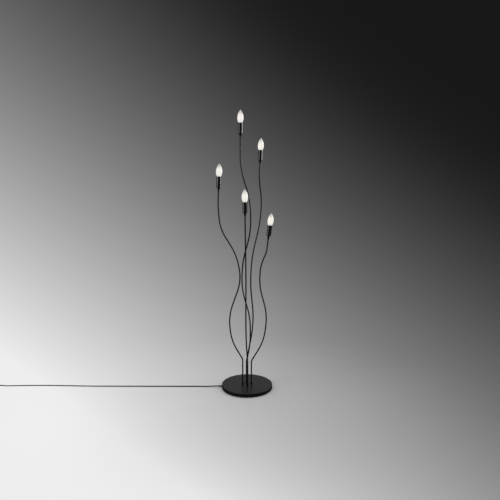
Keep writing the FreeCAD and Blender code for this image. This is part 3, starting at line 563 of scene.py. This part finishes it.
# Each row: name, colour, dullness, grains to the metre, their depth in metres, spread of the colour.
MOULDED = {
    "cord_sheath": ("black sheath", (0.014, 0.014, 0.015), 0.38, 500, 0.00003, 0.25),
    "black_plastic": ("black moulding", (0.017, 0.017, 0.018), 0.5, 1500, 0.00005, 0.25),
    "button_plastic": ("polished button", (0.014, 0.014, 0.015), 0.16, 300, 0.000006, 0.25),
    "black_rubber": ("black rubber", (0.016, 0.016, 0.016), 0.6, 1100, 0.00004, 0.25),
    "foam_pad": ("foam pad", (0.030, 0.030, 0.032), 0.9, 700, 0.00035, 0.8),
    "holder_plastic": ("holder moulding", (0.02, 0.02, 0.02), 0.55, 1300, 0.00004, 0.25),
    "white_plastic": ("white moulding", (0.72, 0.72, 0.69), 0.45, 1300, 0.00004, 0.08),
    "wire_sheath": ("wire sheath", (0.70, 0.70, 0.67), 0.4, 600, 0.00003, 0.08),
    "cast_weight": ("raw casting", (0.05, 0.05, 0.053), 0.75, 420, 0.0003, 0.7),
}


def moulded(name, colour, dull, per_metre, depth, spread):
    """Make a moulded plastic, rubber or casting with a fine grain."""
    skin = Finish(bpy.data.materials.new(name))
    cloud = noise(object_spot(skin), per_metre=45)
    grain = noise(object_spot(skin), per_metre)
    lighter = tuple(part * (1 + spread) for part in colour)
    mottle = MOULDED_WEIGHT * cloud + (1 - MOULDED_WEIGHT) * grain
    return skin.surface_of({"Base Color": blend(mottle, colour, lighter),
                            "Roughness": between(cloud, dull, dull + MOULDED_DRIFT),
                            "Normal": bump(grain, depth)})


finishes = {slot: moulded(*row) for slot, row in MOULDED.items()}
print("moulded:", sorted(finishes))

# %% Mix the metal finishes
# Each row: name, colour, dullness, scratches to the metre, their depth in metres.
PLATED = {
    "plated_steel": ("zinc plate", (0.55, 0.56, 0.57), 0.3, 2200, 0.000012),
    "brass": ("bright brass", (0.80, 0.58, 0.26), 0.24, 2000, 0.000008),
    "nickel_cap": ("nickel cap", (0.70, 0.68, 0.64), 0.2, 2400, 0.000008),
    "nickel_pin": ("nickel pin", (0.72, 0.70, 0.66), 0.16, 2600, 0.000006),
}
PLATED_SHADE = 0.82
PLATED_DRIFT = 0.12


def plated(name, colour, dull, per_metre, depth):
    """Make a plated or bare metal with fine scratches and a faint cloud."""
    metal = Finish(bpy.data.materials.new(name))
    cloud = noise(object_spot(metal), per_metre=120, detail=3.0)
    scratches = noise(object_spot(metal), per_metre, detail=3.0)
    darker = tuple(part * PLATED_SHADE for part in colour)
    return metal.surface_of({"Base Color": blend(cloud, darker, colour), "Metallic": 1.0,
                             "Roughness": between(cloud, dull, dull + PLATED_DRIFT),
                             "Normal": bump(scratches, depth)})


finishes.update({slot: plated(*row) for slot, row in PLATED.items()})
finishes["black_steel"] = tube_black.holder
print(len(finishes), "shared finishes")

# %% [markdown]
# ## Dressing the frame
#
# The record names a material slot for each part, and most parts get the finish of their slot. Sleeves,
# glasses and filaments need one material each, because their patterns start at their own seat. Cups and
# collars are a little shinier than the tubes, and the foot's cover has its rim with a painted highlight.

# %% Put a finish on every node of the frame
OWN_FINISHES = {"sleeve": lacquer, "bulb_glass": lit_glass, "bulb_filament": hot_filament}

coats = {arm + "_cup": cup_black.holder for arm in seats}
coats.update({"foot_collars": cup_black.holder, "base_cover": foot_black.holder})
slots = {part["node"]: part["material_slot"] for part in frame["record"]["subparts"]}
for name, node in nodes.items():
    arm, _, piece = name.partition("_")
    if piece in OWN_FINISHES:
        material = OWN_FINISHES[piece](arm)
    else:
        material = coats.get(name) or finishes[slots[name]]
    node.data.materials.clear()
    node.data.materials.append(material)
print(len(nodes), "nodes dressed")

# %% [markdown]
# ## The mains cord
#
# A mains cord keeps one length and bends only gently. A chain of straight tubes would show its joints,
# so its centre line is a smooth curve through a few control points, and its round section is the
# curve's own bevel. The photograph shows it running out straight along the floor to the left, where it
# fades out. It runs on in the same line, so that the foot switch, the spare length in its neat coil
# and the plug lie beyond the picture.

# %% Draw the cord from the foot to the switch
CORD_RADIUS = 0.003
LEAD_POINTS = (
    (-0.174, 0, 0.008), (-0.190, 0, 0.008), (-0.212, 0.0014, 0.006), (-0.238, 0.005, 0.0034),
    (-0.264, 0.0068, 0.0031), (-0.900, 0.008, 0.0031), (-0.985, 0.0105, 0.0031),
    (-1.070, 0.015, 0.0031), (-1.155, 0.018, 0.0031), (-1.240, 0.019, 0.0031),
    (-1.325, 0.0175, 0.0031), (-1.400, 0.014, 0.0031), (-1.430, 0.0122, 0.0031),
    (-1.450, 0.0106, 0.0043), (-1.470, 0.0095, 0.0074), (-1.500, 0.0095, 0.0074))


def smooth_cord(name, points):
    """Make a round cord whose centre line is a smooth curve steered by the points."""
    line = bpy.data.curves.new(name, "CURVE")
    line.dimensions = "3D"
    line.bevel_depth = CORD_RADIUS
    line.bevel_resolution = 5
    line.resolution_u = 8
    line.use_fill_caps = True
    spline = line.splines.new("NURBS")
    spline.points.add(len(points) - 1)
    for point, spot in zip(spline.points, points):
        point.co = (*spot, 1)
    spline.order_u = 3
    spline.use_endpoint_u = True
    line.materials.append(finishes["cord_sheath"])
    cord = add_object(name, line)
    print(name, "steered by", len(points), "points")
    return cord


lead = smooth_cord("lead_cord", LEAD_POINTS)
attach(lead, "lamp")
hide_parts("cord_lead")

# %% [markdown]
# ## The spare length
#
# What the photograph doesn't show of a cord is wound up as for storage. A spiral that only grows would
# leave its inner end trapped in the middle. So the coil winds in, climbs by one thickness of cord and
# winds out again on top, which brings both ends to the outside. Its turns are worked out by a formula,
# while the short ways to the switch and the plug are a few given points.

# %% Wind the spare length
COIL_CENTRE = (-1.642, -0.0285)
COIL_HEIGHT = 0.0031
COIL_RADIUS = 0.038
COIL_PITCH = 0.0066
COIL_TURNS = 3.5
CLIMB_TURNS = 0.5
POINTS_PER_TURN = 16


def coil_point(turns):
    """Return the coil's centre line after so many turns: it winds in, climbs a layer and winds out."""
    middle = COIL_TURNS / 2
    radius = COIL_RADIUS - COIL_PITCH * (middle - abs(turns - middle))
    climb = min(1, max(0, (turns - middle) / CLIMB_TURNS + 0.5))
    lift = COIL_PITCH * climb * climb * (3 - 2 * climb)
    angle = math.pi / 2 + 2 * math.pi * turns
    return (COIL_CENTRE[0] + radius * math.cos(angle), COIL_CENTRE[1] + radius * math.sin(angle),
            COIL_HEIGHT + lift)


coil_turns = [coil_point(step / POINTS_PER_TURN) for step in range(int(COIL_TURNS * POINTS_PER_TURN) + 1)]
print("coil", round(2 * (COIL_RADIUS + CORD_RADIUS), 3), "m across")

# %% Lead the coil's ends to the switch and the plug
PORT_X = -1.580
SWITCH_HEIGHT = 0.0074
PLUG_HEIGHT = 0.0068
# Each point's way from the port. A second number is its height over the switch, the coil or the plug.
SWITCH_RUN = 0.022
SWITCH_BEND = (0.036, -0.0012)
SWITCH_LANDING = (0.050, 0.0004)
COIL_EXIT = 0.018
PLUG_BEND = (0.024, 0.0006)
PLUG_RUN = 0.008

_, near_y, near_z = coil_turns[0]
far_x, far_y, far_z = coil_turns[-1]
coil_points = [(PORT_X, near_y, SWITCH_HEIGHT), (PORT_X - SWITCH_RUN, near_y, SWITCH_HEIGHT),
               (PORT_X - SWITCH_BEND[0], near_y, SWITCH_HEIGHT + SWITCH_BEND[1]),
               (PORT_X - SWITCH_LANDING[0], near_y, near_z + SWITCH_LANDING[1])]
coil_points += coil_turns
coil_points += [(far_x + COIL_EXIT, far_y, far_z),
                (PORT_X - PLUG_BEND[0], far_y, PLUG_HEIGHT + PLUG_BEND[1]),
                (PORT_X - PLUG_RUN, far_y, PLUG_HEIGHT), (PORT_X, far_y, PLUG_HEIGHT)]

coil = smooth_cord("coiled_cord", coil_points)
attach(coil, "lamp")
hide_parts("cord_coil")

# %% [markdown]
# ## Ribbed bend relief
#
# Where the cord leaves the foot it wears a soft ribbed sleeve that stops it from kinking. Ribs could be
# cut with booleans or stacked from rings. Its outline is only a row of small steps, though, so one
# turn of that outline about the cord, which is what the spin operator does, makes all of them.

# %% Turn outlines into solids
SPIN_STEPS = 40
MERGE_DISTANCE = 0.000001


def spin_outline(shape, outline, centre, axis, closed):
    """Turn an outline about an axis: a closed one gives a ring, an open one a cap."""
    corners = [shape.verts.new(spot) for spot in outline]
    chain = corners + corners[:1] if closed else corners
    edges = [shape.edges.new(pair) for pair in zip(chain, chain[1:])]
    bmesh.ops.spin(shape, geom=corners + edges, cent=centre, axis=axis, angle=2 * math.pi,
                   steps=SPIN_STEPS, use_merge=True)
    bmesh.ops.remove_doubles(shape, verts=shape.verts, dist=MERGE_DISTANCE)


def add_piece(name, mesh_maker, slot):
    """Build a new rigid piece in its place, with its slot's finish, and let it ride on the lamp."""
    shape = bmesh.new()
    mesh_maker(shape)
    bmesh.ops.recalc_face_normals(shape, faces=shape.faces)
    mesh = bpy.data.meshes.new(name)
    shape.to_mesh(mesh)
    shape.free()
    mesh.materials.append(finishes[slot])
    piece = add_object(name, mesh)
    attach(piece, "lamp")
    print(name, "has", len(mesh.polygons), "faces")
    return piece


# %% Turn the ribbed relief
RELIEF_PLACE = (-0.150, 0, 0.008)
RELIEF_LENGTH = 0.024
RELIEF_BORE = 0.00305
RELIEF_ROOT = 0.0047
RELIEF_END = 0.0036
END_LENGTH = 0.0012
END_ROUNDING = 0.0003
COLLAR_START = -0.004
COLLAR_END = 0.0021
RIBS_START = 0.002
RIBS_LENGTH = 0.020
RIB_COUNT = 6
RIB_DEPTH = 0.0005
# Where each rib's top and groove start and end, as shares of the pitch, and how deep they lie.
RIB_STEPS = ((0.08, 0), (0.52, 0), (0.62, RIB_DEPTH), (0.92, RIB_DEPTH))


def relief_outline():
    """List the relief's half section as points along the cord and out from it."""
    outline = [(RIBS_START, RELIEF_BORE), (RIBS_START, RELIEF_ROOT)]
    pitch = RIBS_LENGTH / RIB_COUNT
    for rib in range(RIB_COUNT):
        for share, drop in RIB_STEPS:
            along = RIBS_START + (rib + share) * pitch
            radius = RELIEF_ROOT + (RELIEF_END - RELIEF_ROOT) * along / RELIEF_LENGTH - drop
            outline.append((along, radius))
    outline += [(RELIEF_LENGTH - END_LENGTH, RELIEF_END), (RELIEF_LENGTH, RELIEF_END - END_ROUNDING),
                (RELIEF_LENGTH, RELIEF_BORE)]
    return outline


def make_relief(shape):
    """Spin the ribs, then a plain collar that sits against the rim of the foot."""
    collar = [(COLLAR_START, RELIEF_BORE), (COLLAR_START, RELIEF_ROOT), (COLLAR_END, RELIEF_ROOT),
              (COLLAR_END, RELIEF_BORE)]
    for outline in (relief_outline(), collar):
        placed = [Vector(RELIEF_PLACE) + Vector((-along, 0, radius)) for along, radius in outline]
        spin_outline(shape, placed, RELIEF_PLACE, axis=(-1, 0, 0), closed=True)


relief = add_piece("bend_relief", make_relief, "black_rubber")
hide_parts("strain_relief")

# %% [markdown]
# ## Screw heads
#
# Four screws hold the plate under the foot, and a screw without a drive looks like a rivet. The cross
# could be pressed in as a bump, but its straight walls show from near by. So each head is filled round
# the outline of a cross, and the cross is then drawn up into the head and made smaller on the way, like
# the tapered recess that a real driver fits.

# %% Sink a cross into a head
HEAD_LOW = 0.0004
DRIVE_REACH = 0.0021
DRIVE_HALF = 0.0005
DRIVE_DEPTH = 0.0011
DRIVE_TAPER = 0.7
DRIVE_ARM = ((DRIVE_REACH, -DRIVE_HALF), (DRIVE_REACH, DRIVE_HALF), (DRIVE_HALF, DRIVE_HALF))


def cross_loop(shape, middle):
    """Add the closed loop of a plus sign: one arm's three corners, turned by four quarters."""
    points = []
    for quarter in range(4):
        turn = Matrix.Rotation(quarter * math.pi / 2, 3, "Z")
        for along, side in DRIVE_ARM:
            points.append(shape.verts.new(middle + turn @ Vector((along, side, HEAD_LOW))))
    return [shape.edges.new(pair) for pair in zip(points, points[1:] + points[:1])]


def sink_drive(shape, middle, loop):
    """Draw a loop of edges up into the head, make it smaller about the middle, and close it."""
    drawn = bmesh.ops.extrude_edge_only(shape, edges=loop)["geom"]
    top = [item for item in drawn if isinstance(item, bmesh.types.BMVert)]
    bmesh.ops.translate(shape, verts=top, vec=(0, 0, DRIVE_DEPTH))
    bmesh.ops.scale(shape, verts=top, vec=(DRIVE_TAPER, DRIVE_TAPER, 1), space=Matrix.Translation(-middle))
    bmesh.ops.contextual_create(shape, geom=[item for item in drawn if isinstance(item, bmesh.types.BMEdge)
                                             and item.is_boundary])


# %% Turn the four screws
SCREW_CIRCLE = 0.125
SCREW_TURN = 30
SCREW_COUNT = 4
HEAD_HIGH = 0.002
HEAD_RADIUS = 0.004
HEAD_EDGE = 0.0005
SHANK_RADIUS = 0.002
SHANK_HIGH = 0.014
SCREW_OUTLINE = ((HEAD_RADIUS - HEAD_EDGE, HEAD_LOW), (HEAD_RADIUS, HEAD_LOW + HEAD_EDGE),
                 (HEAD_RADIUS, HEAD_HIGH), (SHANK_RADIUS, HEAD_HIGH), (SHANK_RADIUS, SHANK_HIGH),
                 (0, SHANK_HIGH))


def make_screws(shape):
    """Turn each screw from its outline, then sink a tapered cross into its head."""
    for number in range(SCREW_COUNT):
        angle = math.radians(SCREW_TURN + number * 360 / SCREW_COUNT)
        middle = Vector((math.cos(angle), math.sin(angle), 0)) * SCREW_CIRCLE
        outline = [middle + Vector((radius, 0, height)) for radius, height in SCREW_OUTLINE]
        spin_outline(shape, outline, middle, axis=(0, 0, 1), closed=False)
        rim = [edge for edge in shape.edges if edge.is_boundary]
        mouth = cross_loop(shape, middle)
        bmesh.ops.triangle_fill(shape, use_beauty=True, edges=rim + mouth)
        sink_drive(shape, middle, mouth)


screws = add_piece("cross_head_screws", make_screws, slots["plate_screws"])
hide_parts("plate_screws")
